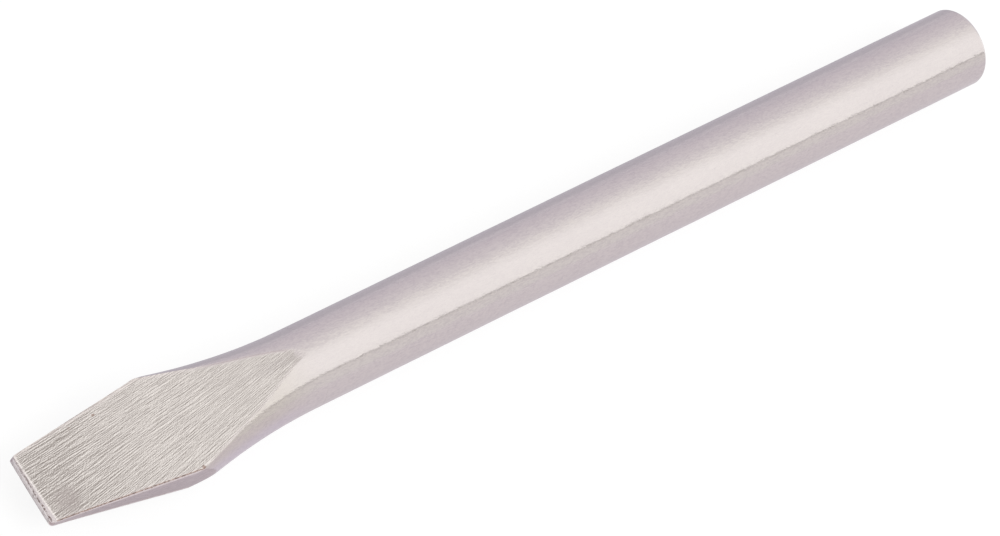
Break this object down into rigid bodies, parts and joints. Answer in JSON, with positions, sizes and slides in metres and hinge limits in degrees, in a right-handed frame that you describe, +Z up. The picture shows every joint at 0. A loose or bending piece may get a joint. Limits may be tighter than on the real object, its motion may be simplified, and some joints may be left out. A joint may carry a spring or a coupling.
{
  "type": "cold chisel",
  "caption": "Flat cold chisel forged from round steel bar: flared wedge blade with ground faces and sides, blunt straight edge, plain round shank and flat struck head.",
  "frame": {"origin": "on the surface the chisel lies on, under the middle of its length and width", "axes": "+X along the bar from the cutting edge to the struck head, Y across the blade, +Z up out of the upper wedge face"},
  "size_m": [0.3, 0.0276, 0.02],
  "materials": {
    "forged_bar": "bare forged bar, satin, with a very fine grain",
    "ground_blade": "ground, with fine wavy marks along the blade and a little rust at the side edges",
    "struck_end": "sawn and dressed flat, satin, with a worn rim"
  },
  "bodies": {
    "root": {"cutting_edge": "ground_blade", "blade": "ground_blade", "neck": "forged_bar", "shank": "forged_bar", "striking_head": "struck_end"}
  },
  "joints": []
}
